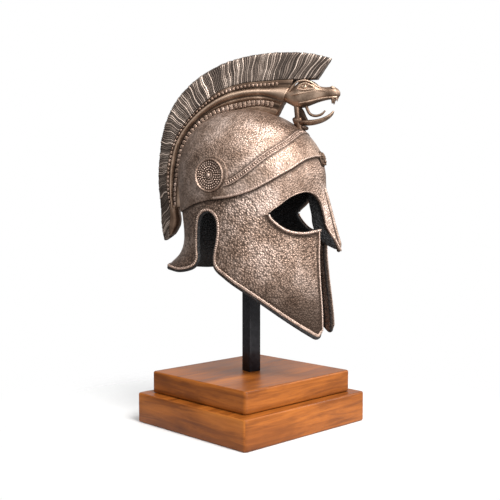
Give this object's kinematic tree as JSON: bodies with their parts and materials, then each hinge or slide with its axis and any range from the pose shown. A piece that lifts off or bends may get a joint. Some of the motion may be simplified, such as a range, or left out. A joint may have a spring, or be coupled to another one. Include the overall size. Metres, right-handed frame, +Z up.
{
  "type": "greek bronze helmet on display stand",
  "caption": "Greek-style bronze helmet with long cheek pieces, nose guard, serpent and tall hair crest, held on a square post and a stepped wooden plinth.",
  "frame": {"origin": "middle of the plinth's underside, on the axis of the post", "axes": "+Z up along the post; +X the way the helmet faces; +Y the wearer's left; the plinth is turned 25.7 degrees clockwise under the helmet, seen from above"},
  "size_m": [0.297, 0.3044, 0.5163],
  "materials": {
    "aged_bronze": "hammered brown bronze with dark recesses",
    "dark_bronze": "dark brown bronze, ribbed",
    "polished_bronze": "rubbed warm bronze",
    "black_metal": "satin black paint",
    "stained_wood": "orange-brown stain under satin varnish"
  },
  "bodies": {
    "root": {"helmet_shell": "aged_bronze", "crest_holder": "polished_bronze", "crest_plume": "dark_bronze", "serpent_head": "polished_bronze", "serpent_jaw": "polished_bronze", "serpent_tongue": "polished_bronze", "forehead_boss": "polished_bronze", "rosette_right": "aged_bronze", "rosette_left": "aged_bronze", "post": "black_metal", "plinth_upper": "stained_wood", "plinth_lower": "stained_wood"}
  },
  "joints": []
}
